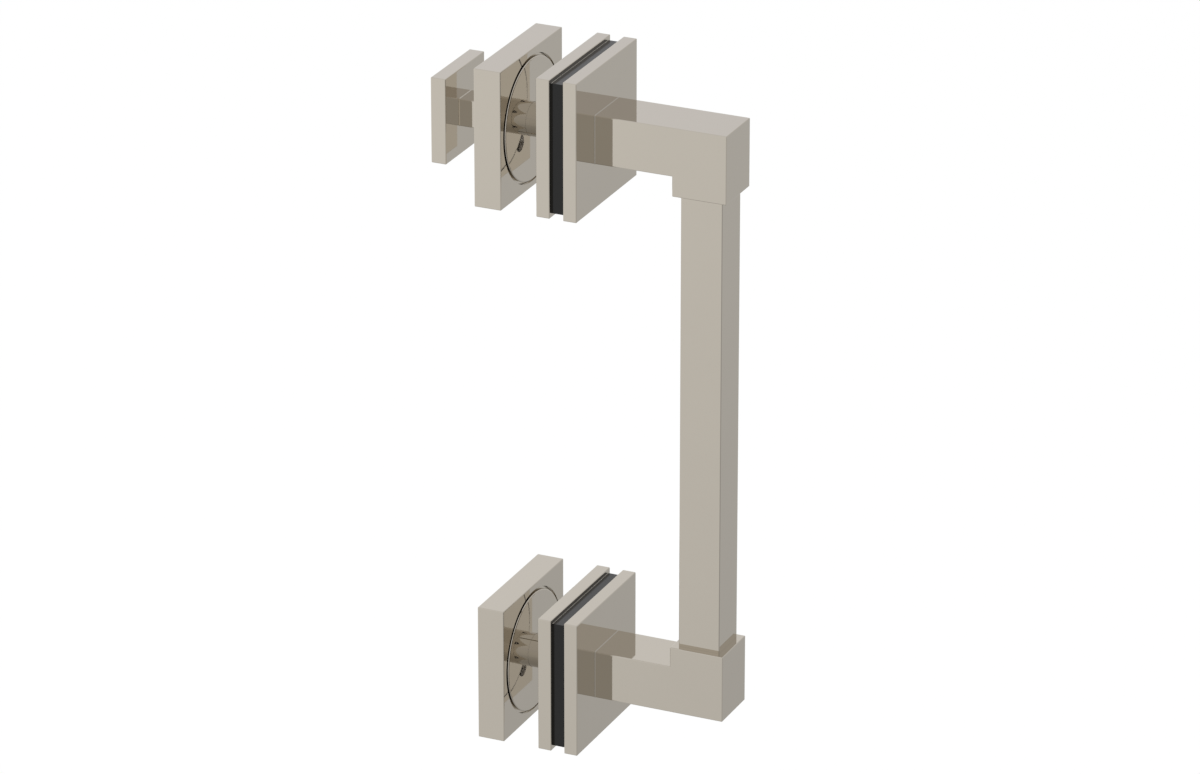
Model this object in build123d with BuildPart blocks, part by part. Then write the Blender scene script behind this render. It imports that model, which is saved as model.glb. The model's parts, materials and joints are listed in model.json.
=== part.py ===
from build123d import *
import os

# Pull handle with a robe hook for a glass shower door, in millimetres.
# The origin lies midway between the two fixing rods, on the glass side of the clamp discs.
# +X points out of the shower towards the pull bar, +Z points up along the bar.

# Layout
rod_spacing = 203.2  # centre to centre of the two fixing rods, 8 in
glass_gap = 12.45  # between clamp disc and mounting disc, for glass of 12

# Plates
plate_side = 50.8  # square plates and covers, 2 in
plate_thickness = 5.08  # outer plate and clamp plate
gasket_thickness = 5.08
gasket_inset = 1.6  # how far the gasket stands back from the plates' edges
cover_thickness = 10.16
edge_round = 0.3  # polished edges of every visible metal piece
foot_flare = 0.22  # small flare where an arm or a stem stands on a plate

# Elbow posts and pull bar
reach = 49.4  # from the outer plate to the far side of the elbow
arm_width = 20.3  # across the door, and the elbow block's length along the arm
arm_height = 17.8
block_drop = 16.27  # from the arm's centre line to the end of the block that takes the bar
bar_side = 15.6

# Fixing rods
rod_diameter = 12.2  # the length seen in the glass
rod_neck_diameter = 11.6  # where it runs in the plates and in the disc
rod_thread_diameter = 8.0
rod_thread_grip = 18.0  # thread length inside the elbow
rod_nose = 2.2  # how far the rod enters the mounting disc
rod_hole_clearance = 0.05  # round the rod, on the radius

# Discs that bear on the glass: clamp discs in the clamp plates, mounting discs in the covers
cover_rim = 2.2  # thinnest wall of a cover, beside the disc's recess
disc_proud = 0.45  # how far a disc stands out of its plate or cover, towards the glass
disc_rim_round = 0.4
clamp_recess_depth = 1.5  # of the clamp disc's recess
disc_thickness = 6.0  # of the mounting disc
disc_step_width = 0.8  # step round a disc's front, seen as a ring in the cover
disc_step_depth = 1.2  # how far the step lies below the cover's face
rim_groove_depth = 1.0  # vee groove that the grub screw bites into
recess_clearance = 0.1  # round the mounting disc, on the radius
recess_floor_gap = 0.4  # behind the mounting disc
recess_mouth_round = 0.1

# Threaded fixings: thread diameters, head diameters and lengths
thread_clearance = 0.05  # between a thread and its hole, on the radius
bolt_clearance = 0.2  # round a bolt in a plain hole, on the radius
thread_end_chamfer = 0.6
hole_end_gap = 1.0  # left free beyond the end of a thread in a blind hole

plate_screw_inset = 8.4  # from the plate's edges to the axes of its four screws
plate_screw_diameter = 3.0
plate_screw_head_diameter = 5.5
plate_screw_head_height = 2.0
plate_screw_length = 10.0
plate_screw_key = 2.0
plate_screw_key_depth = 1.1
head_hole_clearance = 0.4  # round the head, on the radius

disc_screw_diameter = 6.0
disc_screw_head_diameter = 11.3
disc_screw_length = 10.0
disc_screw_key = 4.0
disc_screw_key_depth = 2.0

grub_diameter = 3.0
grub_recess = 0.3  # how far it lies below the cover's edge
grub_bite = 0.7  # how far its point reaches into the disc's groove
grub_key = 1.5
grub_key_depth = 1.1

bar_stud_diameter = 8.0
bar_stud_length = 22.0

# Robe hook
hook_stem_side = 10.0
hook_stem_length = 15.35
hook_plate_side = 31.5
hook_plate_thickness = 5.7
hook_screw_diameter = 5.0
hook_screw_head_diameter = 9.3
hook_screw_length = 10.0
hook_screw_key = 3.0
hook_screw_key_depth = 1.6
hook_stud_diameter = 5.0
hook_stud_in_plate = 3.6
hook_stud_in_stem = 5.2
hook_stud_end_gap = 0.4

# Faces along the rod, from the glass outwards
clamp_disc_x = 0.0
clamp_plate_x = clamp_disc_x + disc_proud
clamp_recess_x = clamp_plate_x + clamp_recess_depth
gasket_x = clamp_plate_x + plate_thickness
outer_plate_x = gasket_x + gasket_thickness
elbow_x = outer_plate_x + plate_thickness
elbow_end_x = elbow_x + reach
block_x = elbow_end_x - arm_width
bar_x = (block_x + elbow_end_x) / 2

# Faces along the rod, from the glass inwards
disc_face_x = clamp_disc_x - glass_gap
cover_face_x = disc_face_x - disc_proud
disc_step_x = cover_face_x - disc_step_depth
disc_back_x = disc_face_x - disc_thickness
recess_floor_x = disc_back_x - recess_floor_gap
cover_back_x = cover_face_x - cover_thickness
hook_plate_x = cover_back_x - hook_stem_length
rod_nose_x = disc_face_x - rod_nose
rod_end_x = elbow_x + rod_thread_grip
grub_x = (disc_step_x + disc_back_x) / 2

# Sizes that follow from the fits
rod_hole_radius = rod_diameter / 2 + rod_hole_clearance
neck_radius = rod_neck_diameter / 2
thread_radius = rod_thread_diameter / 2
recess_radius = plate_side / 2 - cover_rim
disc_radius = recess_radius - recess_clearance
disc_front_radius = disc_radius - disc_step_width
gasket_side = plate_side - 2 * gasket_inset
plate_screw_spacing = plate_side - 2 * plate_screw_inset
bar_end = rod_spacing / 2 - block_drop
bar_hole_depth = bar_stud_length / 2 + hole_end_gap


def across(x, height):
    """The plane across a fixing rod: its own x runs along Y and its own y along Z."""
    return Plane(origin=(x, 0, height), x_dir=(0, 1, 0), z_dir=(1, 0, 0))


def facing_in(x, height):
    """The same plane seen from inside the shower, so that it looks along -X."""
    return Plane(origin=(x, 0, height), x_dir=(0, -1, 0), z_dir=(-1, 0, 0))


def save(piece, name):
    """Label a finished piece and write its file."""
    piece.part.label = name
    export_step(piece.part, f"parts/{name}.step")


os.makedirs("parts", exist_ok=True)

# Pull bar: a square bar, drilled at both ends for the studs that join it to the elbows
with BuildPart() as pull_bar:
    with BuildSketch(Plane.XY.offset(-bar_end)):
        with Locations((bar_x, 0)):
            Rectangle(bar_side, bar_side)
    extrude(amount=2 * bar_end)
    fillet(pull_bar.edges().filter_by(Axis.Z), radius=edge_round)
    with Locations(
        Plane(origin=(bar_x, 0, bar_end), z_dir=(0, 0, 1)),
        Plane(origin=(bar_x, 0, -bar_end), z_dir=(0, 0, -1)),
    ):
        Hole(radius=bar_stud_diameter / 2 + thread_clearance, depth=bar_hole_depth)
save(pull_bar, "pull_bar")

# Each end of the handle: its name, the height of its rod, and which way its bar lies
for end, height, inward in (("upper", rod_spacing / 2, -1), ("lower", -rod_spacing / 2, 1)):
    block_face = height + inward * block_drop

    # Elbow post: arm and block in one piece, with blind holes for the rod and for the bar's stud
    with BuildPart() as elbow_post:
        with BuildSketch(Plane.XZ.offset(-arm_width / 2)):
            with BuildLine():
                Polyline(
                    (elbow_x, height - inward * arm_height / 2),
                    (elbow_end_x, height - inward * arm_height / 2),
                    (elbow_end_x, block_face),
                    (block_x, block_face),
                    (block_x, height + inward * arm_height / 2),
                    (elbow_x, height + inward * arm_height / 2),
                    close=True,
                )
            make_face()
        extrude(amount=arm_width)
        inner_corner = elbow_post.edges().filter_by(Axis.Y).sort_by_distance(
            (block_x, 0, height + inward * arm_height / 2)
        )[0]
        foot_edges = elbow_post.edges().group_by(Axis.X)[0]
        fillet(elbow_post.edges() - foot_edges - [inner_corner], radius=edge_round)
        with BuildSketch(facing_in(elbow_x + foot_flare, height)):
            RectangleRounded(arm_width, arm_height, edge_round)
        extrude(amount=foot_flare, taper=-45)
        with Locations(facing_in(elbow_x, height)):
            Hole(
                radius=thread_radius + thread_clearance,
                depth=rod_thread_grip + hole_end_gap,
            )
        with Locations(Plane(origin=(bar_x, 0, block_face), z_dir=(0, 0, inward))):
            Hole(radius=bar_stud_diameter / 2 + thread_clearance, depth=bar_hole_depth)
    save(elbow_post, f"{end}_elbow_post")

    # Stud that joins the bar to the elbow, half in each
    with BuildPart() as bar_stud:
        with BuildSketch(Plane.XY.offset(block_face - bar_stud_length / 2)):
            with Locations((bar_x, 0)):
                Circle(bar_stud_diameter / 2)
        extrude(amount=bar_stud_length)
        chamfer(bar_stud.edges().filter_by(GeomType.CIRCLE), length=thread_end_chamfer)
    save(bar_stud, f"{end}_bar_stud")

    # Outer plate: the rod's thread passes through it, and four screws end in it
    screw_end_x = clamp_recess_x + plate_screw_head_height + plate_screw_length
    with BuildPart() as outer_plate:
        with BuildSketch(across(outer_plate_x, height)):
            Rectangle(plate_side, plate_side)
        extrude(amount=plate_thickness)
        fillet(outer_plate.edges(), radius=edge_round)
        with Locations(across(elbow_x, height)):
            Hole(radius=thread_radius + bolt_clearance)
        with Locations(facing_in(outer_plate_x, height)):
            with GridLocations(plate_screw_spacing, plate_screw_spacing, 2, 2):
                Hole(
                    radius=plate_screw_diameter / 2 + thread_clearance,
                    depth=screw_end_x - outer_plate_x + thread_end_chamfer,
                )
    save(outer_plate, f"{end}_outer_plate")

    # Gasket: a rubber square between the two plates
    with BuildPart() as gasket:
        with BuildSketch(across(gasket_x, height)):
            Rectangle(gasket_side, gasket_side)
            Circle(rod_hole_radius, mode=Mode.SUBTRACT)
            with GridLocations(plate_screw_spacing, plate_screw_spacing, 2, 2):
                Circle(plate_screw_diameter / 2 + bolt_clearance, mode=Mode.SUBTRACT)
        extrude(amount=gasket_thickness)
    save(gasket, f"{end}_gasket")

    # Clamp plate: holds a round disc towards the glass, with the screw heads sunk in its corners
    with BuildPart() as clamp_plate:
        with BuildSketch(across(clamp_plate_x, height)):
            Rectangle(plate_side, plate_side)
        extrude(amount=plate_thickness)
        fillet(clamp_plate.edges(), radius=edge_round)
        with Locations(facing_in(clamp_plate_x, height)):
            Hole(radius=recess_radius, depth=clamp_recess_depth)
            Hole(radius=rod_hole_radius)
            with GridLocations(plate_screw_spacing, plate_screw_spacing, 2, 2):
                CounterBoreHole(
                    radius=plate_screw_diameter / 2 + bolt_clearance,
                    counter_bore_radius=plate_screw_head_diameter / 2 + head_hole_clearance,
                    counter_bore_depth=clamp_recess_depth + plate_screw_head_height,
                )
    save(clamp_plate, f"{end}_clamp_plate")

    # Clamp disc: bears on the glass, and laps over the inner side of the screw heads
    with BuildPart() as clamp_disc:
        with BuildSketch(across(clamp_disc_x, height)):
            Circle(disc_front_radius)
        extrude(amount=clamp_recess_x - clamp_disc_x)
        front_rim = clamp_disc.edges().filter_by(GeomType.CIRCLE).sort_by(Axis.X)[0]
        fillet(front_rim, radius=disc_rim_round)
        with Locations(facing_in(clamp_disc_x, height)):
            Hole(radius=rod_hole_radius)
    save(clamp_disc, f"{end}_clamp_disc")

    # Four low-head socket screws that hold plate, gasket and plate together
    with BuildPart() as plate_screws:
        with BuildSketch(across(clamp_recess_x, height)):
            with GridLocations(plate_screw_spacing, plate_screw_spacing, 2, 2):
                Circle(plate_screw_head_diameter / 2)
        extrude(amount=plate_screw_head_height)
        with BuildSketch(across(clamp_recess_x + plate_screw_head_height, height)):
            with GridLocations(plate_screw_spacing, plate_screw_spacing, 2, 2):
                Circle(plate_screw_diameter / 2)
        extrude(amount=plate_screw_length)
        with BuildSketch(across(clamp_recess_x, height)):
            with GridLocations(plate_screw_spacing, plate_screw_spacing, 2, 2):
                RegularPolygon(plate_screw_key / 2, 6, major_radius=False)
        extrude(amount=plate_screw_key_depth, mode=Mode.SUBTRACT)
    save(plate_screws, f"{end}_plate_screws")

    # Fixing rod: turned from one bar, threaded into the elbow and tapped for the disc's screw
    with BuildPart() as fixing_rod:
        with BuildSketch(Plane.XZ):
            with BuildLine():
                Polyline(
                    (rod_nose_x, height),
                    (rod_nose_x, height + neck_radius - thread_end_chamfer),
                    (rod_nose_x + thread_end_chamfer, height + neck_radius),
                    (disc_face_x, height + neck_radius),
                    (disc_face_x, height + rod_diameter / 2),
                    (clamp_disc_x, height + rod_diameter / 2),
                    (clamp_disc_x, height + neck_radius),
                    (outer_plate_x, height + neck_radius),
                    (outer_plate_x, height + thread_radius),
                    (rod_end_x - thread_end_chamfer, height + thread_radius),
                    (rod_end_x, height + thread_radius - thread_end_chamfer),
                    (rod_end_x, height),
                    close=True,
                )
            make_face()
        revolve(axis=Axis((0, 0, height), (1, 0, 0)))
        with Locations(facing_in(rod_nose_x, height)):
            Hole(
                radius=disc_screw_diameter / 2 + thread_clearance,
                depth=disc_screw_length - (rod_nose_x - disc_back_x) + hole_end_gap,
            )
    save(fixing_rod, f"{end}_fixing_rod")

    # Mounting disc: clamps the glass, and holds the cover by the groove round its rim
    with BuildPart() as mounting_disc:
        with BuildSketch(across(disc_back_x, height)):
            Circle(disc_radius)
        extrude(amount=disc_step_x - disc_back_x)
        with BuildSketch(across(disc_step_x, height)):
            Circle(disc_front_radius)
        extrude(amount=disc_face_x - disc_step_x)
        front_rim = mounting_disc.edges().filter_by(GeomType.CIRCLE).sort_by(Axis.X)[-1]
        fillet(front_rim, radius=disc_rim_round)
        with BuildSketch(Plane.XZ):
            with BuildLine():
                Polyline(
                    (grub_x - rim_groove_depth, height + disc_radius),
                    (grub_x, height + disc_radius - rim_groove_depth),
                    (grub_x + rim_groove_depth, height + disc_radius),
                    close=True,
                )
            make_face()
        revolve(axis=Axis((0, 0, height), (1, 0, 0)), mode=Mode.SUBTRACT)
        with Locations(across(disc_face_x, height)):
            Hole(radius=rod_hole_radius, depth=rod_nose + bolt_clearance)
        with Locations(facing_in(disc_back_x, height)):
            CounterSinkHole(
                radius=disc_screw_diameter / 2 + bolt_clearance,
                counter_sink_radius=disc_screw_head_diameter / 2 + bolt_clearance,
                counter_sink_angle=90,
            )
    save(mounting_disc, f"{end}_mounting_disc")

    # Countersunk socket screw that draws the disc towards the rod
    with BuildPart() as disc_screw:
        with BuildSketch(across(disc_back_x, height)):
            Circle(disc_screw_head_diameter / 2)
        extrude(amount=(disc_screw_head_diameter - disc_screw_diameter) / 2, taper=45)
        with BuildSketch(across(disc_back_x, height)):
            Circle(disc_screw_diameter / 2)
        extrude(amount=disc_screw_length)
        with BuildSketch(across(disc_back_x, height)):
            RegularPolygon(disc_screw_key / 2, 6, major_radius=False)
        extrude(amount=disc_screw_key_depth, mode=Mode.SUBTRACT)
    save(disc_screw, f"{end}_disc_screw")

    # Cover: a square block with a round recess that slips over the mounting disc
    with BuildPart() as cover_plate:
        with BuildSketch(across(cover_back_x, height)):
            Rectangle(plate_side, plate_side)
        extrude(amount=cover_thickness)
        fillet(cover_plate.edges(), radius=edge_round)
        with Locations(across(cover_face_x, height)):
            Hole(radius=recess_radius, depth=cover_face_x - recess_floor_x)
        mouth = cover_plate.edges().filter_by(GeomType.CIRCLE).sort_by(Axis.X)[-1]
        fillet(mouth, radius=recess_mouth_round)
        with Locations(Plane(origin=(grub_x, 0, height - plate_side / 2), z_dir=(0, 0, -1))):
            Hole(radius=grub_diameter / 2 + thread_clearance, depth=plate_side / 2 - disc_radius)
        if end == "upper":
            with Locations(across(recess_floor_x, height)):
                CounterSinkHole(
                    radius=hook_screw_diameter / 2 + bolt_clearance,
                    counter_sink_radius=hook_screw_head_diameter / 2 + bolt_clearance,
                    counter_sink_angle=90,
                )
    save(cover_plate, f"{end}_cover_plate")

    # Grub screw in the cover's lower edge, its point in the disc's groove
    grub_radius = grub_diameter / 2
    grub_foot = height - plate_side / 2 + grub_recess
    grub_point = height - disc_radius + grub_bite
    with BuildPart() as grub_screw:
        with BuildSketch(Plane.XZ):
            with BuildLine():
                Polyline(
                    (grub_x, grub_foot),
                    (grub_x + grub_radius, grub_foot),
                    (grub_x + grub_radius, grub_point - grub_radius),
                    (grub_x, grub_point),
                    close=True,
                )
            make_face()
        revolve(axis=Axis((grub_x, 0, grub_foot), (0, 0, 1)))
        with BuildSketch(Plane.XY.offset(grub_foot)):
            with Locations((grub_x, 0)):
                RegularPolygon(grub_key / 2, 6, major_radius=False)
        extrude(amount=grub_key_depth, mode=Mode.SUBTRACT)
    save(grub_screw, f"{end}_grub_screw")

# Robe hook on the upper cover: screw, stem, stud and end plate
hook_height = rod_spacing / 2

with BuildPart() as hook_screw:
    with BuildSketch(facing_in(recess_floor_x, hook_height)):
        Circle(hook_screw_head_diameter / 2)
    extrude(amount=(hook_screw_head_diameter - hook_screw_diameter) / 2, taper=45)
    with BuildSketch(facing_in(recess_floor_x, hook_height)):
        Circle(hook_screw_diameter / 2)
    extrude(amount=hook_screw_length)
    with BuildSketch(facing_in(recess_floor_x, hook_height)):
        RegularPolygon(hook_screw_key / 2, 6, major_radius=False)
    extrude(amount=hook_screw_key_depth, mode=Mode.SUBTRACT)
save(hook_screw, "hook_screw")

hook_screw_grip = hook_screw_length - (recess_floor_x - cover_back_x)
with BuildPart() as hook_stem:
    with BuildSketch(facing_in(cover_back_x, hook_height)):
        Rectangle(hook_stem_side, hook_stem_side)
    extrude(amount=hook_stem_length)
    fillet(hook_stem.edges().filter_by(Axis.X), radius=edge_round)
    for foot in (
        across(cover_back_x - foot_flare, hook_height),
        facing_in(hook_plate_x + foot_flare, hook_height),
    ):
        with BuildSketch(foot):
            RectangleRounded(hook_stem_side, hook_stem_side, edge_round)
        extrude(amount=foot_flare, taper=-45)
    with Locations(across(cover_back_x, hook_height)):
        Hole(
            radius=hook_screw_diameter / 2 + thread_clearance,
            depth=hook_screw_grip + hole_end_gap,
        )
    with Locations(facing_in(hook_plate_x, hook_height)):
        Hole(
            radius=hook_stud_diameter / 2 + thread_clearance,
            depth=hook_stud_in_stem + hook_stud_end_gap,
        )
save(hook_stem, "hook_stem")

with BuildPart() as hook_end_stud:
    with BuildSketch(facing_in(hook_plate_x + hook_stud_in_stem, hook_height)):
        Circle(hook_stud_diameter / 2)
    extrude(amount=hook_stud_in_stem + hook_stud_in_plate)
    chamfer(hook_end_stud.edges().filter_by(GeomType.CIRCLE), length=thread_end_chamfer)
save(hook_end_stud, "hook_end_stud")

with BuildPart() as hook_end_plate:
    with BuildSketch(facing_in(hook_plate_x, hook_height)):
        Rectangle(hook_plate_side, hook_plate_side)
    extrude(amount=hook_plate_thickness)
    fillet(hook_end_plate.edges(), radius=edge_round)
    with Locations(across(hook_plate_x, hook_height)):
        Hole(
            radius=hook_stud_diameter / 2 + thread_clearance,
            depth=hook_stud_in_plate + hook_stud_end_gap,
        )
save(hook_end_plate, "hook_end_plate")
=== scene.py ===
# %% [markdown]
# # A shower door handle with a robe hook
#
# This lesson dresses a pull handle for a frameless glass shower door. The solids come from the CAD
# model: a square bar on two elbow posts, and on each post a stack of square plates, a black gasket,
# a round rod through the glass and a thick cover on the inside. Nearly everything is nickel that
# has been polished like a mirror, so most of the work is in the studio that the mirrors look at.

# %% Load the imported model
import json
import math

import bmesh
import bpy
from mathutils import Matrix, Vector


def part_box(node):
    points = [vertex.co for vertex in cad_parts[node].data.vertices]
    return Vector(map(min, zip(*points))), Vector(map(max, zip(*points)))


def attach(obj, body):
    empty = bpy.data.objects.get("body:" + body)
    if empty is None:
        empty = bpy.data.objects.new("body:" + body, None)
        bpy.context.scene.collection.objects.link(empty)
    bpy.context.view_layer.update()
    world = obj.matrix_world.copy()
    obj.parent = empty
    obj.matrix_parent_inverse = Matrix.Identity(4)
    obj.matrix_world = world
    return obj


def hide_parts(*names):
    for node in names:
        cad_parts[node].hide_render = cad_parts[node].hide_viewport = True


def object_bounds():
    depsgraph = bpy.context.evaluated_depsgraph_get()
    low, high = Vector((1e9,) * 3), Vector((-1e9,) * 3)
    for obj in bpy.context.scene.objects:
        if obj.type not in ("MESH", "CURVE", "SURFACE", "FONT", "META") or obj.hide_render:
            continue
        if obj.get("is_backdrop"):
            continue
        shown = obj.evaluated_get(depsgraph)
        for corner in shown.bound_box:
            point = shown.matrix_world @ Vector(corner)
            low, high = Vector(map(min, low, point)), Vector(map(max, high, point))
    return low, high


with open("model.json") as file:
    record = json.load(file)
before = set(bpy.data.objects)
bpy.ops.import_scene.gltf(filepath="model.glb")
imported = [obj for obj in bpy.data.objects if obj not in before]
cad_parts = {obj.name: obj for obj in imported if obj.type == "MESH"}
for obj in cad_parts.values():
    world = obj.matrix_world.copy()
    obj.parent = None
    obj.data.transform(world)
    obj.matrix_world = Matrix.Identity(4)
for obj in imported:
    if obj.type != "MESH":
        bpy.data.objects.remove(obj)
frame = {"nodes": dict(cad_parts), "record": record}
cad_low, cad_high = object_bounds()
scene = bpy.context.scene
scene.view_settings.view_transform = "Standard"
print("solids loaded:", len(frame["nodes"]))
print("size in mm:", [round(1000 * side, 1) for side in cad_high - cad_low])

# %% [markdown]
# ## The camera
#
# The handle was taken from the front left and from above, from about 2.4 metres away. From so far
# the upright edges hardly lean at all. A short lens close by would fill the frame too, but it would
# spread the edges and show other reflections in the polished faces. A long lens at the measured
# distance keeps both.

# %% Place the camera
CAMERA_AZIMUTH = math.radians(24.4128)
CAMERA_ELEVATION = math.radians(22.8344)
CAMERA_DISTANCE = 2.36353
CAMERA_LENS = 201.9885  # mm
SENSOR_WIDTH = 36.0  # mm
AIM = Vector((0.01569, 0.0, 0.0))
AIM_LEFT, AIM_UP = 0.0023619, 0.0051003  # small shifts that centre the frame as in the photograph

towards_camera = Vector((
    math.sin(CAMERA_AZIMUTH) * math.cos(CAMERA_ELEVATION),
    -math.cos(CAMERA_AZIMUTH) * math.cos(CAMERA_ELEVATION),
    math.sin(CAMERA_ELEVATION),
))
picture_right = Vector((math.cos(CAMERA_AZIMUTH), math.sin(CAMERA_AZIMUTH), 0.0))
picture_up = towards_camera.cross(picture_right)
aim = AIM - AIM_LEFT * picture_right + AIM_UP * picture_up

camera_data = bpy.data.cameras.new("camera")
camera_data.lens = CAMERA_LENS
camera_data.sensor_width = SENSOR_WIDTH
camera_data.clip_start, camera_data.clip_end = 0.1, 50.0
camera = bpy.data.objects.new("camera", camera_data)
camera.rotation_mode = "QUATERNION"
camera.location = aim + CAMERA_DISTANCE * towards_camera
camera.rotation_quaternion = (-towards_camera).to_track_quat("-Z", "Y")
scene.collection.objects.link(camera)
scene.camera = camera
print("camera at:", [round(value, 3) for value in camera.location])

# %% [markdown]
# ## Helpers for node trees
#
# Every finish here is a small tree of nodes, built by the script. Nodes can be made one line at a
# time, but then the wiring hides what the tree does. One helper makes a node, sets it and wires it
# in a single line, so that each tree reads from its coordinates to its output.


# %% Helpers that add and wire nodes
def add(tree, kind, inputs=None, **settings):
    """Add a node. A value in inputs is a number, a colour, or another node's output."""
    made = tree.nodes.new(kind)
    for name, value in settings.items():
        setattr(made, name, value)
    for name, value in (inputs or {}).items():
        if isinstance(value, bpy.types.NodeSocket):
            tree.links.new(value, made.inputs[name])
        else:
            made.inputs[name].default_value = value
    return made


def calculate(tree, operation, *values):
    """One step of arithmetic, with one to three values."""
    return add(tree, "ShaderNodeMath", dict(enumerate(values)), operation=operation).outputs[0]


def blend(tree, share, first, second, kind="MIX"):
    """Mix the second colour into the first by a share, or multiply the first by it."""
    inputs = {0: share, 1: first, 2: second}
    return add(tree, "ShaderNodeMixRGB", inputs, blend_type=kind).outputs[0]


def ramp(tree, source, stops):
    """Turn a value into greys: stops are (where from 0 to 1, how bright)."""
    made = add(tree, "ShaderNodeValToRGB", {0: source})
    elements = made.color_ramp.elements
    while len(elements) < len(stops):
        elements.new(1.0)
    for element, (where, grey) in zip(elements, stops):
        element.position = where
        element.color = (grey, grey, grey, 1.0)
    return made.outputs["Color"]


# %% [markdown]
# ## The studio
#
# A mirror has no tone of its own. It shows what it faces. All the handle's faces lie square to each
# other, so from one camera they look in only eight directions, and the photograph gives the tone of
# each: about 0.9 to the left, about 0.65 to the right, and darker towards the floor. Soft boxes
# could give these tones, but their edges would show in the polished metal. A smooth surround does
# not have edges. Two upright ramps hold the tones of the left and the right wall, and a third
# blends them across. The upper faces are a little cooler in the photograph, so a last ramp lifts
# the blue above. Light Path tells the rays apart. The camera sees plain white, glossy and
# transmission rays see the pale surround, and the light that falls on dull things is one even grey.

# %% Set the tones of the surround
# Each stop is a direction and a value. The walls and the cool share run from down (-1) to up (1).
RIGHT_WALL = (
    (-1.0, 0.40), (-0.45, 0.550), (-0.35, 0.618), (-0.03, 0.680),
    (0.34, 0.693), (0.43, 0.722), (1.0, 0.75),
)
LEFT_WALL = (
    (-1.0, 0.60), (-0.45, 0.874), (-0.35, 0.983), (-0.1, 0.960),
    (0.34, 0.921), (0.425, 0.987), (0.6, 0.852), (1.0, 0.858),
)
# The left wall's share runs from left (-1) to right (1).
LEFT_SHARE = ((-1.0, 1.0), (-0.45, 0.89), (-0.36, 0.67), (-0.3, 0.56), (0.0, 0.30), (0.35, 0.0))
COOL_SHARE = ((0.1, 0.0), (0.34, 1.0), (0.42, 0.3), (1.0, 0.3))
COOL_TINT = (1.0, 1.0, 1.037, 1.0)
EVEN_GREY = (0.75, 0.75, 0.75, 1.0)
WHITE = (1.0, 1.0, 1.0, 1.0)
print("stops on the walls:", len(RIGHT_WALL), "right and", len(LEFT_WALL), "left")


# %% Build the surround
def to_ramp(tree, value):
    """A direction from -1 to 1, moved to a ramp's 0 to 1."""
    return add(tree, "ShaderNodeMapRange", {0: value, 1: -1.0, 2: 1.0}).outputs[0]


def as_share(stops):
    """Stops written for a direction from -1 to 1, moved to a ramp's 0 to 1."""
    return [((where + 1.0) / 2.0, grey) for where, grey in stops]


world = bpy.data.worlds.new("studio")
world.use_nodes = True
scene.world = world
sky = world.node_tree
sky.nodes.clear()
direction = add(sky, "ShaderNodeTexCoord").outputs["Generated"]
parts = add(sky, "ShaderNodeSeparateXYZ", {0: direction}).outputs
across = to_ramp(sky, parts["X"])
height = to_ramp(sky, parts["Z"])
walls = blend(
    sky,
    ramp(sky, across, as_share(LEFT_SHARE)),
    ramp(sky, height, as_share(RIGHT_WALL)),
    ramp(sky, height, as_share(LEFT_WALL)),
)
surround = blend(sky, ramp(sky, height, as_share(COOL_SHARE)), walls, COOL_TINT, "MULTIPLY")
ray = add(sky, "ShaderNodeLightPath").outputs
mirrored = calculate(sky, "MAXIMUM", ray["Is Glossy Ray"], ray["Is Transmission Ray"])
around = blend(sky, mirrored, EVEN_GREY, surround)
seen = blend(sky, ray["Is Camera Ray"], around, WHITE)
background = add(sky, "ShaderNodeBackground", {"Color": seen, "Strength": 1.0})
add(sky, "ShaderNodeOutputWorld", {"Surface": background.outputs[0]})
print("surround built with", len(sky.nodes), "nodes")

# %% [markdown]
# ## The floor
#
# The picture's ground is plain white and the handle floats above it. A floor close under it would
# throw a shadow into the frame, so the floor lies 0.3 metres below. It is pale, and the camera sees
# it nearly as bright as the white around it: most of it glows for camera rays only, and the rest
# takes light and shadow as any floor does.

# %% Make the floor
FLOOR_DROP = 0.3
FLOOR_RADIUS = 15.0
FLOOR_SIDES = 96
FLOOR_PAINT = (0.9, 0.9, 0.9, 1.0)
GLOW_SHARE = 0.94  # of what the camera sees of the floor
GLOW_STRENGTH = 1.015


def new_material(name):
    """An empty material, and its tree."""
    material = bpy.data.materials.new(name)
    material.use_nodes = True
    material.node_tree.nodes.clear()
    return material, material.node_tree


floor_height = cad_low.z - FLOOR_DROP
bpy.ops.mesh.primitive_circle_add(
    vertices=FLOOR_SIDES, radius=FLOOR_RADIUS, fill_type="NGON", location=(0.0, 0.0, floor_height),
)
floor = bpy.context.object
floor.name = "floor"
floor.visible_glossy = False
floor_paint, paint = new_material("pale_floor")
ray = add(paint, "ShaderNodeLightPath").outputs
glow_share = calculate(paint, "MULTIPLY", ray["Is Camera Ray"], GLOW_SHARE)
pale = add(paint, "ShaderNodeBsdfDiffuse", {"Color": FLOOR_PAINT}).outputs[0]
glow = add(paint, "ShaderNodeEmission", {"Color": WHITE, "Strength": GLOW_STRENGTH}).outputs[0]
mixed = add(paint, "ShaderNodeMixShader", {0: glow_share, 1: pale, 2: glow}).outputs[0]
add(paint, "ShaderNodeOutputMaterial", {"Surface": mixed})
floor.data.materials.append(floor_paint)
floor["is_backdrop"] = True
print("floor at", round(floor_height, 3))

# %% [markdown]
# ## One soft lamp
#
# The surround lights everything evenly. One broad lamp from the upper left adds the direction that
# a studio has, and gives the floor its soft shadow. It is kept out of the mirrors, where it would
# stand as a hard bright square.

# %% Hang the lamp
LAMP_PLACE = Vector((-1.3, -0.9, 2.0))
LAMP_SIZE = 1.6
LAMP_POWER = 22.0

lamp_data = bpy.data.lights.new("soft_lamp", "AREA")
lamp_data.shape = "SQUARE"
lamp_data.size = LAMP_SIZE
lamp_data.energy = LAMP_POWER
lamp = bpy.data.objects.new("soft_lamp", lamp_data)
lamp.location = LAMP_PLACE
lamp.rotation_mode = "QUATERNION"
lamp.rotation_quaternion = (-LAMP_PLACE).to_track_quat("-Z", "Y")
lamp.visible_glossy = False
scene.collection.objects.link(lamp)
print("lamp", round(LAMP_PLACE.length, 2), "m away")

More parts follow.
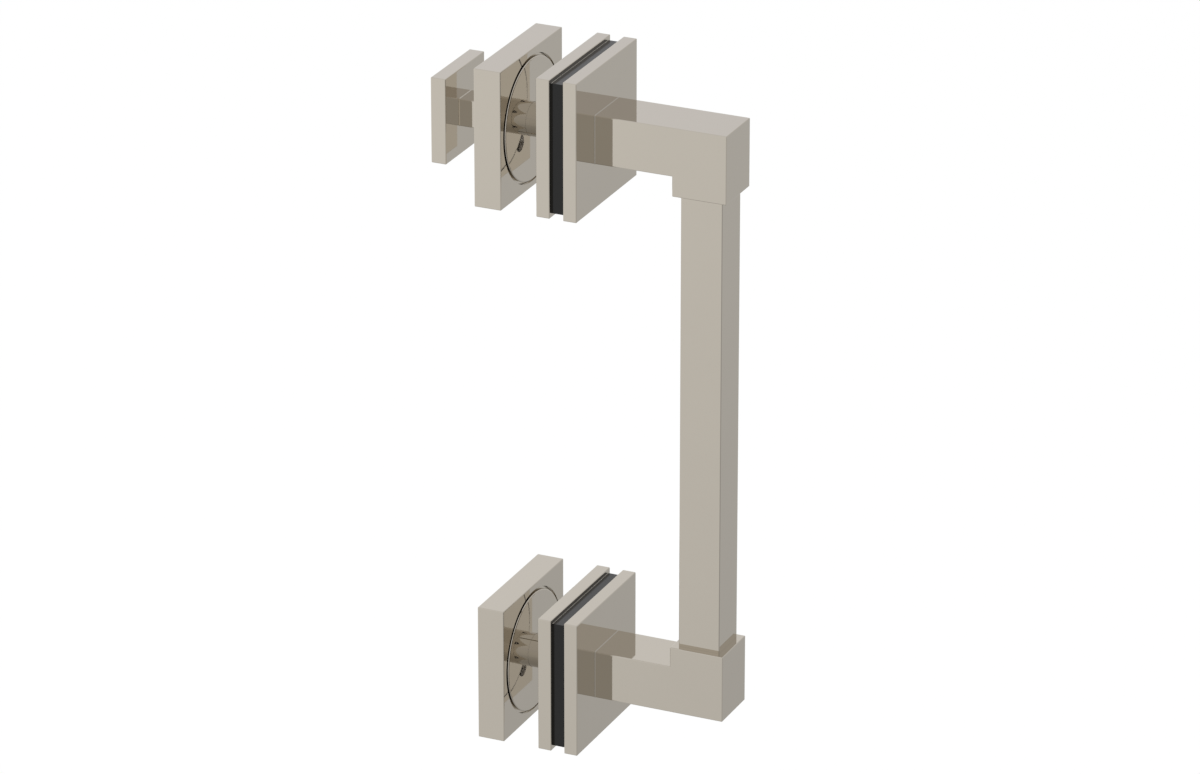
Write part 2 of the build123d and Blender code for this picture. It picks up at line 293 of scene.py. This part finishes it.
# %% [markdown]
# ## Polished nickel
#
# Handles like this are usually brass, plated with nickel and buffed until they mirror. Nickel is a
# little warm: it keeps more red than blue. A flat metal shader would already look close, but a
# buffed face is never quite the same all over. The plating's tone drifts slightly, the gloss comes
# and goes, and the buffing wheel leaves very long, very shallow waves. All of this follows Object
# coordinates, so it stays on the metal when the camera moves.


# %% Helpers that give a finish its clouds, its gloss and its relief
def clouds(tree, place, scale, detail):
    """A noise around 0.5. A larger scale makes smaller clouds."""
    inputs = {"Vector": place, "Scale": scale, "Detail": detail}
    return add(tree, "ShaderNodeTexNoise", inputs).outputs[0]


def spread(tree, cloud, least, most):
    """Spread clouds over a range. Nearly all of a noise lies between 0.3 and 0.7."""
    inputs = {0: cloud, 1: 0.3, 2: 0.7, 3: least, 4: most}
    return add(tree, "ShaderNodeMapRange", inputs).outputs[0]


def relief(tree, cloud, strength, rise):
    """Turn clouds into shallow hills, which rise by so many metres."""
    inputs = {"Height": cloud, "Strength": strength, "Distance": rise}
    return add(tree, "ShaderNodeBump", inputs).outputs[0]


def shade(tree, inputs):
    """Wire the values into one shader, and the shader to the output."""
    shader = add(tree, "ShaderNodeBsdfPrincipled", inputs)
    add(tree, "ShaderNodeOutputMaterial", {"Surface": shader.outputs[0]})


# %% Start the nickel with its tone
NICKEL = (0.572, 0.5275, 0.457)
TONE_DRIFT = 0.012
DRIFT_SCALE = 55.0  # patches about 18 mm wide


def tinted(colour, share):
    """A colour made lighter or darker by a share."""
    return tuple(channel * (1.0 + share) for channel in colour) + (1.0,)


nickel, metal = new_material("polished_nickel")
place = add(metal, "ShaderNodeTexCoord").outputs["Object"]
drift = clouds(metal, place, DRIFT_SCALE, detail=3.0)
tone = blend(metal, drift, tinted(NICKEL, -TONE_DRIFT), tinted(NICKEL, TONE_DRIFT))
print("nickel's tone drifts by", TONE_DRIFT, "both ways")

# %% [markdown]
# Some places differ from the faces in the photograph. The flare at the foot of each arm, the bar's
# rounded edges and its seams are darker, and the screw holes in the clamp plates are paler than a
# mirror would be so deep down. This is painted shade on the first three and painted light in the
# holes, carried in the nickel's colour. Their tones are fitted to the photograph and not known. A
# second material could be put on these faces, but the solids come with one slot each, so masks made
# from the coordinates pick the places out.


# %% Helpers that pick out a place
def within(tree, value, low, high):
    """1 where a value lies between two limits, otherwise 0."""
    return calculate(tree, "COMPARE", value, (low + high) / 2.0, (high - low) / 2.0)


def all_of(tree, first, *others):
    """1 where all the masks are 1, otherwise 0."""
    for other in others:
        first = calculate(tree, "MULTIPLY", first, other)
    return first


# %% Paint shade on the flares, the seams and the bar's edges
# The three tones below are painted shade, multiplied into the nickel's colour.
FLARE_WIDTH = 0.00022  # of the small flare at the foot of an arm
FLARE_GAP = 0.01  # share of the flare left out on both sides
FLARE_PAINTED_SHADE = 0.80
SEAM_WIDTH = 0.00012  # of the dark seam at the ends of the bar
SEAM_PAINTED_SHADE = 0.95
BAR_EDGE = 0.0003  # radius of the bar's rounded edges
BAR_EDGE_GAP = 0.02  # share of the radius left out beside the flat faces
BAR_EDGE_PAINTED_SHADE = 0.80

spot = add(metal, "ShaderNodeSeparateXYZ", {0: place}).outputs
from_half_height = calculate(metal, "ABSOLUTE", spot["Z"])
arm_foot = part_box("upper_elbow_post")[0][0]
in_flare = within(
    metal, spot["X"],
    arm_foot + FLARE_GAP * FLARE_WIDTH, arm_foot + (1.0 - FLARE_GAP) * FLARE_WIDTH,
)
bar_low, bar_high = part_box("pull_bar")
in_seam = all_of(
    metal,
    within(metal, spot["X"], bar_low[0] - SEAM_WIDTH, bar_high[0] + SEAM_WIDTH),
    within(metal, spot["Y"], bar_low[1] - SEAM_WIDTH, bar_high[1] + SEAM_WIDTH),
    within(metal, from_half_height, bar_high[2] - SEAM_WIDTH, bar_high[2]),
)
bar_middle = (bar_low[0] + bar_high[0]) / 2.0
bar_half = (bar_high[0] - bar_low[0]) / 2.0
from_middle = calculate(metal, "ABSOLUTE", calculate(metal, "SUBTRACT", spot["X"], bar_middle))
from_side = calculate(metal, "ABSOLUTE", spot["Y"])
on_bar_edge = all_of(
    metal,
    within(metal, from_middle, bar_half - BAR_EDGE, bar_half - BAR_EDGE_GAP * BAR_EDGE),
    within(metal, from_side, bar_high[1] - BAR_EDGE, bar_high[1] - BAR_EDGE_GAP * BAR_EDGE),
    within(metal, from_half_height, 0.0, bar_high[2] - SEAM_WIDTH),
)
# Painted shade: the nickel is made darker on the flares, the seams and the bar's edges.
for mask, share in ((in_flare, FLARE_PAINTED_SHADE), (in_seam, SEAM_PAINTED_SHADE), (on_bar_edge, BAR_EDGE_PAINTED_SHADE)):
    tone = blend(metal, mask, tone, (share, share, share, 1.0), "MULTIPLY")
print("arms' feet at x =", round(arm_foot, 5), "and bar's ends at z =", round(bar_high[2], 5))

# %% Paint light into the holes in the clamp plates
# The holes' walls get a paler colour, which is painted light. The mask takes in all that lies
# inside the plates, so the groove round the disc is paler too.
BORE_PAINTED_LIGHT = (0.84, 0.82, 0.81, 1.0)
INSET = 0.0002  # keeps the mask clear of the plates' own faces
GLASS_SIDE_INSET = INSET / 4.0  # less on the side towards the glass

plate_low, plate_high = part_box("upper_clamp_plate")
in_bore = all_of(
    metal,
    within(metal, spot["X"], plate_low[0] + GLASS_SIDE_INSET, plate_high[0] - INSET),
    within(metal, spot["Y"], plate_low[1] + INSET, plate_high[1] - INSET),
    within(metal, from_half_height, plate_low[2] + INSET, plate_high[2] - INSET),
)
tone = blend(metal, in_bore, tone, BORE_PAINTED_LIGHT)
print("clamp plates reach from x =", round(plate_low[0], 5), "to", round(plate_high[0], 5))

# %% Give the nickel its gloss and its waves
NICKEL_ROUGHNESS = (0.02, 0.05)
BORE_ROUGHNESS = 0.35  # added in the holes
HAZE_SCALE = 260.0  # patches about 4 mm wide
WAVE_SCALE = 38.0  # waves about 26 mm long
WAVE_STRENGTH, WAVE_RISE = 0.5, 0.000004

haze = clouds(metal, place, HAZE_SCALE, detail=4.0)
gloss = spread(metal, haze, *NICKEL_ROUGHNESS)
gloss = calculate(metal, "MULTIPLY_ADD", in_bore, BORE_ROUGHNESS, gloss)
wave = clouds(metal, place, WAVE_SCALE, detail=1.0)
surface = relief(metal, wave, WAVE_STRENGTH, WAVE_RISE)
shade(metal, {"Base Color": tone, "Metallic": 1.0, "Roughness": gloss, "Normal": surface})
print("nickel built with", len(metal.nodes), "nodes")

# %% [markdown]
# ## Black rubber
#
# The gaskets are moulded rubber, nearly black, with a smooth skin that shines at a glancing angle.
# A plain dark grey would match the picture from one side only. The grey there is all sheen, so the
# colour stays very dark and the gloss does the work. A fine grain breaks up the shine.
#
# In the picture a thin light line runs along the upper ledges where the rubber meets the clamp
# plate, and none runs down the front. Its cause is not known. A rounded edge gave a dark line there
# instead, so it is drawn as a painted highlight: a pale colour laid along the upper corner.

# %% Start the rubber with its black
ENDS = ("upper", "lower")
RUBBER_TONES = ((0.0012, 0.0012, 0.0011, 1.0), (0.0036, 0.0036, 0.0034, 1.0))
RUBBER_ROUGHNESS = (0.12, 0.20)
RUBBER_CLOUD_SCALE = 180.0

rubber, skin = new_material("gasket_rubber")
place = add(skin, "ShaderNodeTexCoord").outputs["Object"]
cloud = clouds(skin, place, RUBBER_CLOUD_SCALE, detail=4.0)
black = blend(skin, cloud, *RUBBER_TONES)
gloss = spread(skin, cloud, *RUBBER_ROUGHNESS)
print("rubber's black lies between", RUBBER_TONES[0][0], "and", RUBBER_TONES[1][0])

# %% Draw the painted highlight line and the grain
LINE_WIDTH = 0.00016
LEDGE = 0.00001  # how near to the top counts as the ledge
# A painted highlight: pale colour along the rubber's upper corner by the clamp plate.
PAINTED_HIGHLIGHT = (0.50, 0.49, 0.465, 1.0)
PAINTED_HIGHLIGHT_ROUGHNESS = 0.5  # added on the line
RUBBER_IOR = 1.42
GRAIN_SCALE = 5200.0
GRAIN_STRENGTH, GRAIN_RISE = 0.3, 0.000004

spot = add(skin, "ShaderNodeSeparateXYZ", {0: place}).outputs
plate_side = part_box("upper_gasket")[0][0]
tops = [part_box(end + "_gasket")[1][2] for end in ENDS]
on_ledges = [within(skin, spot["Z"], top - LEDGE, top + LEDGE) for top in tops]
on_line = all_of(
    skin,
    within(skin, spot["X"], plate_side - LINE_WIDTH, plate_side + LINE_WIDTH),
    calculate(skin, "ADD", *on_ledges),
)
black = blend(skin, on_line, black, PAINTED_HIGHLIGHT)
gloss = calculate(skin, "MULTIPLY_ADD", on_line, PAINTED_HIGHLIGHT_ROUGHNESS, gloss)
grain = clouds(skin, place, GRAIN_SCALE, detail=2.0)
surface = relief(skin, grain, GRAIN_STRENGTH, GRAIN_RISE)
shade(skin, {"Base Color": black, "Roughness": gloss, "IOR": RUBBER_IOR, "Normal": surface})
print("rubber built with", len(skin.nodes), "nodes")

# %% [markdown]
# ## Turned steel
#
# The screws and studs are taken to be plain stainless steel, duller than the nickel. Only a trace
# of them shows in the photograph, deep in a mirrored hole, and their tone is fitted to that: it is
# set lighter than plain steel, partly painted light that makes the hole read paler. The nickel
# could serve for them too, but then a head would mirror as sharply as the plates do.

# %% Make the steel
# Lighter than plain steel: partly the steel's colour, partly painted light for the deep holes.
STEEL_AND_PAINTED_LIGHT_TONES = ((0.64, 0.635, 0.62, 1.0), (0.74, 0.735, 0.72, 1.0))
STEEL_ROUGHNESS = (0.22, 0.34)
SPECK_SCALE = 900.0
SPECK_STRENGTH, SPECK_RISE = 0.3, 0.00001

steel, bare = new_material("turned_steel")
place = add(bare, "ShaderNodeTexCoord").outputs["Object"]
speck = clouds(bare, place, SPECK_SCALE, detail=4.0)
tone = blend(bare, speck, *STEEL_AND_PAINTED_LIGHT_TONES)
gloss = spread(bare, speck, *STEEL_ROUGHNESS)
surface = relief(bare, speck, SPECK_STRENGTH, SPECK_RISE)
shade(bare, {"Base Color": tone, "Metallic": 1.0, "Roughness": gloss, "Normal": surface})
print("steel built with", len(bare.nodes), "nodes")

# %% [markdown]
# ## Screws and studs
#
# The fixings are cut from bar: a thread is a groove that climbs by one pitch with every turn. A
# screw could be modelled ring by ring, but that gives grooves which close on themselves. Here
# Geometry Nodes roll a grid into a tube and lift it by one pitch from one side to the other, so
# that the two sides meet a turn further on. Of the four rows in a turn two lie on the crest and two
# in the root.


# %% Helpers that start and end a tree
def new_tree(name, inputs):
    """A Geometry Nodes tree with named inputs: (name, kind of socket, value)."""
    tree = bpy.data.node_groups.new(name, "GeometryNodeTree")
    for label, kind, value in inputs:
        socket = tree.interface.new_socket(label, in_out="INPUT", socket_type=kind)
        if value is not None:
            socket.default_value = value
    tree.interface.new_socket("Geometry", in_out="OUTPUT", socket_type="NodeSocketGeometry")
    return tree


def end_tree(tree, geometry, material):
    """Make everything real, give it its material and hand it out."""
    whole = add(tree, "GeometryNodeRealizeInstances", {"Geometry": geometry}).outputs[0]
    inputs = {"Geometry": whole, "Material": material}
    finished = add(tree, "GeometryNodeSetMaterial", inputs).outputs[0]
    add(tree, "NodeGroupOutput", {0: finished})


# %% Build the tree that cuts a thread
ROWS_PER_TURN = 4
HALF_A_ROW = 0.5 / ROWS_PER_TURN
LAST_ROW = 0.49999  # the grid's first and last row lie beyond this, and close the two ends
MERGE_DISTANCE = 0.000002

thread = new_tree("thread", [
    ("Radius", "NodeSocketFloat", 0.004),
    ("Depth", "NodeSocketFloat", 0.0006),
    ("Pitch", "NodeSocketFloat", 0.00125),
    ("Length", "NodeSocketFloat", 0.02),
    ("Turns", "NodeSocketInt", 18),
    ("Around", "NodeSocketInt", 32),
    ("Material", "NodeSocketMaterial", None),
])


def step(operation, *values):
    """One step of arithmetic in the thread's tree."""
    return calculate(thread, operation, *values)


given = add(thread, "NodeGroupInput").outputs
columns = step("ADD", given["Around"], 1.0)
rows = step("MULTIPLY_ADD", given["Turns"], float(ROWS_PER_TURN), 1.0)
grid = add(
    thread, "GeometryNodeMeshGrid",
    {"Size X": 1.0, "Size Y": 1.0, "Vertices X": columns, "Vertices Y": rows},
).outputs["Mesh"]
position = add(thread, "GeometryNodeInputPosition").outputs[0]
spot = add(thread, "ShaderNodeSeparateXYZ", {0: position}).outputs
turn = step("ADD", spot["X"], 0.5)
climb = step("MULTIPLY", step("ADD", spot["Y"], 0.5), given["Turns"])
lifted = step("MULTIPLY", step("ADD", step("SUBTRACT", climb, 1.0), turn), given["Pitch"])
along = step("MINIMUM", step("MAXIMUM", lifted, 0.0), given["Length"])
in_root = step("GREATER_THAN", step("FRACT", step("ADD", climb, HALF_A_ROW)), 0.5)
cut = step("SUBTRACT", given["Radius"], step("MULTIPLY", in_root, given["Depth"]))
to_end = step("MINIMUM", along, step("SUBTRACT", given["Length"], along))
chamfer = step("ADD", step("SUBTRACT", given["Radius"], given["Depth"]), to_end)
inside = step("LESS_THAN", step("ABSOLUTE", spot["Y"]), LAST_ROW)
radius = step("MULTIPLY", step("MINIMUM", cut, chamfer), inside)
angle = step("MULTIPLY", turn, 2.0 * math.pi)
rolled = add(
    thread, "ShaderNodeCombineXYZ",
    {
        0: step("MULTIPLY", radius, step("COSINE", angle)),
        1: step("MULTIPLY", radius, step("SINE", angle)),
        2: along,
    },
).outputs[0]
moved = add(
    thread, "GeometryNodeSetPosition", {"Geometry": grid, "Position": rolled},
).outputs[0]
closed = add(
    thread, "GeometryNodeMergeByDistance", {"Geometry": moved, "Distance": MERGE_DISTANCE},
).outputs[0]
end_tree(thread, closed, given["Material"])
print("thread tree built with", len(thread.nodes), "nodes")

# %% [markdown]
# Four equal screws hold each stack of plates. They could be placed by hand, but a second small tree
# sets one screw at each corner of a square, and its one measure is the square's side.

# %% Build the tree that sets four in a square
square = new_tree("four_in_a_square", [
    ("Geometry", "NodeSocketGeometry", None),
    ("Side", "NodeSocketFloat", 0.03),
    ("Material", "NodeSocketMaterial", None),
])
given = add(square, "NodeGroupInput").outputs
corners = add(
    square, "GeometryNodeMeshGrid",
    {"Size X": given["Side"], "Size Y": given["Side"], "Vertices X": 2, "Vertices Y": 2},
).outputs["Mesh"]
copies = add(
    square, "GeometryNodeInstanceOnPoints", {"Points": corners, "Instance": given["Geometry"]},
).outputs[0]
end_tree(square, copies, given["Material"])
print("pattern tree built with", len(square.nodes), "nodes")

# %% [markdown]
# A tree gives its shape only while its modifier is there. The export needs plain meshes, so the
# result is written into the piece and the modifier goes.


# %% Helpers that run a tree on a piece
THREAD_DEPTH = 0.54  # of the pitch
SPARE_TURNS = 2  # the grid starts and ends beyond the shank, which is then cut to length


def run_tree(piece, tree, values):
    """Run a tree on a piece with these inputs, and keep the result as its plain mesh."""
    modifier = piece.modifiers.new(tree.name, "NODES")
    modifier.node_group = tree
    for item in tree.interface.items_tree:
        if item.item_type == "SOCKET" and item.name in values:
            modifier[item.identifier] = values[item.name]
    evaluated = piece.evaluated_get(bpy.context.evaluated_depsgraph_get())
    made = bpy.data.meshes.new_from_object(evaluated)
    piece.modifiers.remove(modifier)
    piece.data = made


def new_piece(name, mesh):
    """Put a mesh into the scene as a piece."""
    piece = bpy.data.objects.new(name, mesh)
    scene.collection.objects.link(piece)
    return piece


def threaded(name, radius, pitch, length, start=0.0, around=32):
    """A threaded shank along Z that starts at a height."""
    piece = new_piece(name, bpy.data.meshes.new(name))
    run_tree(piece, thread, {
        "Radius": radius, "Depth": THREAD_DEPTH * pitch, "Pitch": pitch, "Length": length,
        "Turns": math.ceil(length / pitch) + SPARE_TURNS, "Around": around, "Material": steel,
    })
    piece.data.transform(Matrix.Translation((0.0, 0.0, start)))
    return piece


# %% [markdown]
# Heads are turned in code. Spinning a drawn outline would make them too, but a key's socket is not
# round. So a head is a list of rings from pole to pole, and a ring is round or has six flats.


# %% Helpers that turn a head, join it and place it
SIXTH = math.pi / 3.0  # one flat of a six-sided socket
SHARP_ANGLE = math.radians(30.0)


def turned(rings, around=48):
    """A closed shape of rings, each (radius, height) or (half a key's width, height, "flats")."""
    shape = bmesh.new()
    lines = []
    for radius, height, *flats in rings:
        if radius == 0.0:
            lines.append([shape.verts.new((0.0, 0.0, height))] * around)
            continue
        line = []
        for step_round in range(around):
            angle = 2.0 * math.pi * step_round / around
            reach = radius / math.cos(angle % SIXTH - SIXTH / 2.0) if flats else radius
            corner = (reach * math.cos(angle), reach * math.sin(angle), height)
            line.append(shape.verts.new(corner))
        lines.append(line)
    for low, high in zip(lines, lines[1:]):
        for here in range(around):
            after = (here + 1) % around
            shape.faces.new(dict.fromkeys((low[here], low[after], high[after], high[here])))
    bmesh.ops.recalc_face_normals(shape, faces=shape.faces)
    mesh = bpy.data.meshes.new("turned")
    shape.to_mesh(mesh)
    shape.free()
    return mesh


def key_socket(key, depth):
    """The rings of a six-sided socket, from the middle of its floor to its rim."""
    return [(0.0, depth), (key, depth, "flats"), (key, 0.0, "flats")]


def join(piece, mesh):
    """Add another mesh to a piece."""
    shape = bmesh.new()
    shape.from_mesh(piece.data)
    shape.from_mesh(mesh)
    shape.to_mesh(piece.data)
    shape.free()


def stand_in(piece, node, placed):
    """Move a finished piece to its node's place, in its mesh, and let it stand for the node."""
    piece.data.transform(placed)
    piece.data.materials.clear()
    piece.data.materials.append(steel)
    piece.data.shade_smooth()
    piece.data.set_sharp_from_angle(angle=SHARP_ANGLE)
    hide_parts(node)
    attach(piece, "root")
    print(node, "has", len(piece.data.polygons), "faces")


# %% [markdown]
# Studs are threads and nothing else. Their lengths could be typed in, but they come from the
# solids' boxes, so the studs fill their holes. Coarse metric pitches go with the diameters: 1.25 mm
# for 8 mm, 1 mm for 6 mm, 0.8 mm for 5 mm and 0.5 mm for 3 mm.

# %% Make the studs
OUT = Matrix.Rotation(math.radians(90.0), 4, "Y")  # stands a Z axis along +X
IN = Matrix.Rotation(math.radians(-90.0), 4, "Y")  # and along -X
PITCH_FOR_RADIUS = {0.004: 0.00125, 0.003: 0.001, 0.0025: 0.0008, 0.0015: 0.0005}
BAR_STUD_RADIUS = 0.004
HOOK_STUD_RADIUS = 0.0025


def box_of(node):
    """The lowest corner, the highest corner and the middle of a node's box."""
    low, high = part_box(node)
    return Vector(low), Vector(high), (Vector(low) + Vector(high)) / 2.0


for end in ENDS:
    node = end + "_bar_stud"
    low, high, middle = box_of(node)
    pitch = PITCH_FOR_RADIUS[BAR_STUD_RADIUS]
    stud = threaded(end + "_bar_thread", BAR_STUD_RADIUS, pitch, high.z - low.z)
    stand_in(stud, node, Matrix.Translation((middle.x, middle.y, low.z)))

low, high, middle = box_of("hook_end_stud")
pitch = PITCH_FOR_RADIUS[HOOK_STUD_RADIUS]
stud = threaded("hook_stud_thread", HOOK_STUD_RADIUS, pitch, high.x - low.x)
stand_in(stud, "hook_end_stud", Matrix.Translation((low.x, middle.y, middle.z)) @ OUT)

# %% [markdown]
# Countersunk screws sit flush at the back of the discs and in the upper cover. The cone under the
# head takes the pull, and a six-sided socket takes the key. The thread's tree could be widened to
# make the cone as well, but a real cone is smooth, so the head is turned and joined to the shank.

# %% Make the countersunk screws
COUNTERSUNK = (
    # node, thread radius, half the key's width, socket depth, which way it points
    ("upper_disc_screw", 0.003, 0.002, 0.002, 1),
    ("lower_disc_screw", 0.003, 0.002, 0.002, 1),
    ("hook_screw", 0.0025, 0.0015, 0.0016, -1),
)
RIM_BREAK = 0.0001  # the small bevel on a head's rim

for node, radius, key, depth, way in COUNTERSUNK:
    low, high, middle = box_of(node)
    head = (high.y - low.y) / 2.0
    cone = head - radius
    shank = high.x - low.x - cone
    screw = threaded(node + "_cut", radius, PITCH_FOR_RADIUS[radius], shank, start=cone)
    join(screw, turned((
        *key_socket(key, depth), (head - RIM_BREAK, 0.0), (head, RIM_BREAK),
        (radius, cone), (0.0, cone),
    )))
    start = low.x if way > 0 else high.x
    placed = Matrix.Translation((start, middle.y, middle.z)) @ (OUT if way > 0 else IN)
    stand_in(screw, node, placed)

# %% [markdown]
# The plates' screws have low round heads, which sit flush under the rim of the clamp disc. One
# screw is made, and the pattern tree sets it at the four corners.

# %% Make the plate screws
HEAD_RADIUS = 0.00275
HEAD_HEIGHT = 0.002
HEAD_BREAK = 0.0002
PLATE_SCREW_RADIUS = 0.0015
PLATE_KEY, PLATE_SOCKET = 0.001, 0.0011  # half the key's width, and the socket's depth

for end in ENDS:
    node = end + "_plate_screws"
    low, high, middle = box_of(node)
    screws = threaded(
        end + "_plate_screw_set", PLATE_SCREW_RADIUS, PITCH_FOR_RADIUS[PLATE_SCREW_RADIUS],
        high.x - low.x - HEAD_HEIGHT, start=HEAD_HEIGHT, around=24,
    )
    join(screws, turned((
        *key_socket(PLATE_KEY, PLATE_SOCKET), (HEAD_RADIUS - HEAD_BREAK, 0.0),
        (HEAD_RADIUS, HEAD_BREAK), (HEAD_RADIUS, HEAD_HEIGHT), (0.0, HEAD_HEIGHT),
    )))
    run_tree(screws, square, {"Side": high.y - low.y - 2.0 * HEAD_RADIUS, "Material": steel})
    stand_in(screws, node, Matrix.Translation((low.x, middle.y, middle.z)) @ OUT)

# %% [markdown]
# The grub screw is so short that its socket takes nearly all of it. A climbing thread would run
# through the socket, so its few grooves are turned as rings, and a cone gives it its point.

# %% Make the grub screws
GRUB_KEY, GRUB_SOCKET = 0.00075, 0.0011
GRUB_BREAK = 0.0002
GRUB_PITCH = 0.0005
GRUB_SPARE = 0.0001  # how far the last groove may reach past the shoulder
# The corners of one groove: how deep, and how far along the screw.
GRUB_GROOVE = ((0.0, 0.0), (0.0, 0.0001), (0.00025, 0.00025), (0.00025, 0.00035))

for end in ENDS:
    node = end + "_grub_screw"
    low, high, middle = box_of(node)
    full = (high.x - low.x) / 2.0
    shoulder = high.z - low.z - full
    rings = [*key_socket(GRUB_KEY, GRUB_SOCKET), (full - GRUB_BREAK, 0.0)]
    start = GRUB_BREAK
    while start + GRUB_PITCH <= shoulder + GRUB_SPARE:
        rings += [(full - depth, start + way) for depth, way in GRUB_GROOVE]
        start += GRUB_PITCH
    rings += [(full, shoulder), (0.0, shoulder + full)]
    grub = new_piece(end + "_grub_turned", turned(rings))
    stand_in(grub, node, Matrix.Translation((middle.x, middle.y, low.z)))

# %% [markdown]
# ## Finishes on the solids
#
# The other pieces are the CAD model's own solids. A real handle's blocks, plates and discs are
# finished one by one and then put together, so each has one finish all over, and here one slot. The
# finishes could be set by hand, but the record already says which one each piece has, so a loop
# over it leaves none out. The solids keep their meshes and their places.

# %% Give each solid its finish
FINISHES = {"polished_nickel": nickel, "gasket": rubber, "fixings": steel}

for piece in frame["record"]["subparts"]:
    solid = frame["nodes"][piece["node"]]
    solid.material_slots[0].material = FINISHES[piece["material_slot"]]

# %% [markdown]
# ## The size
#
# The dressed handle has to be as large as the bare solids. Nothing here is added outside them, so
# the two boxes should be the same. Both are written down.

# %% Write the dressed handle's box
low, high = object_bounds()
print("visual size in mm:", [round(1000 * side, 1) for side in high - low])
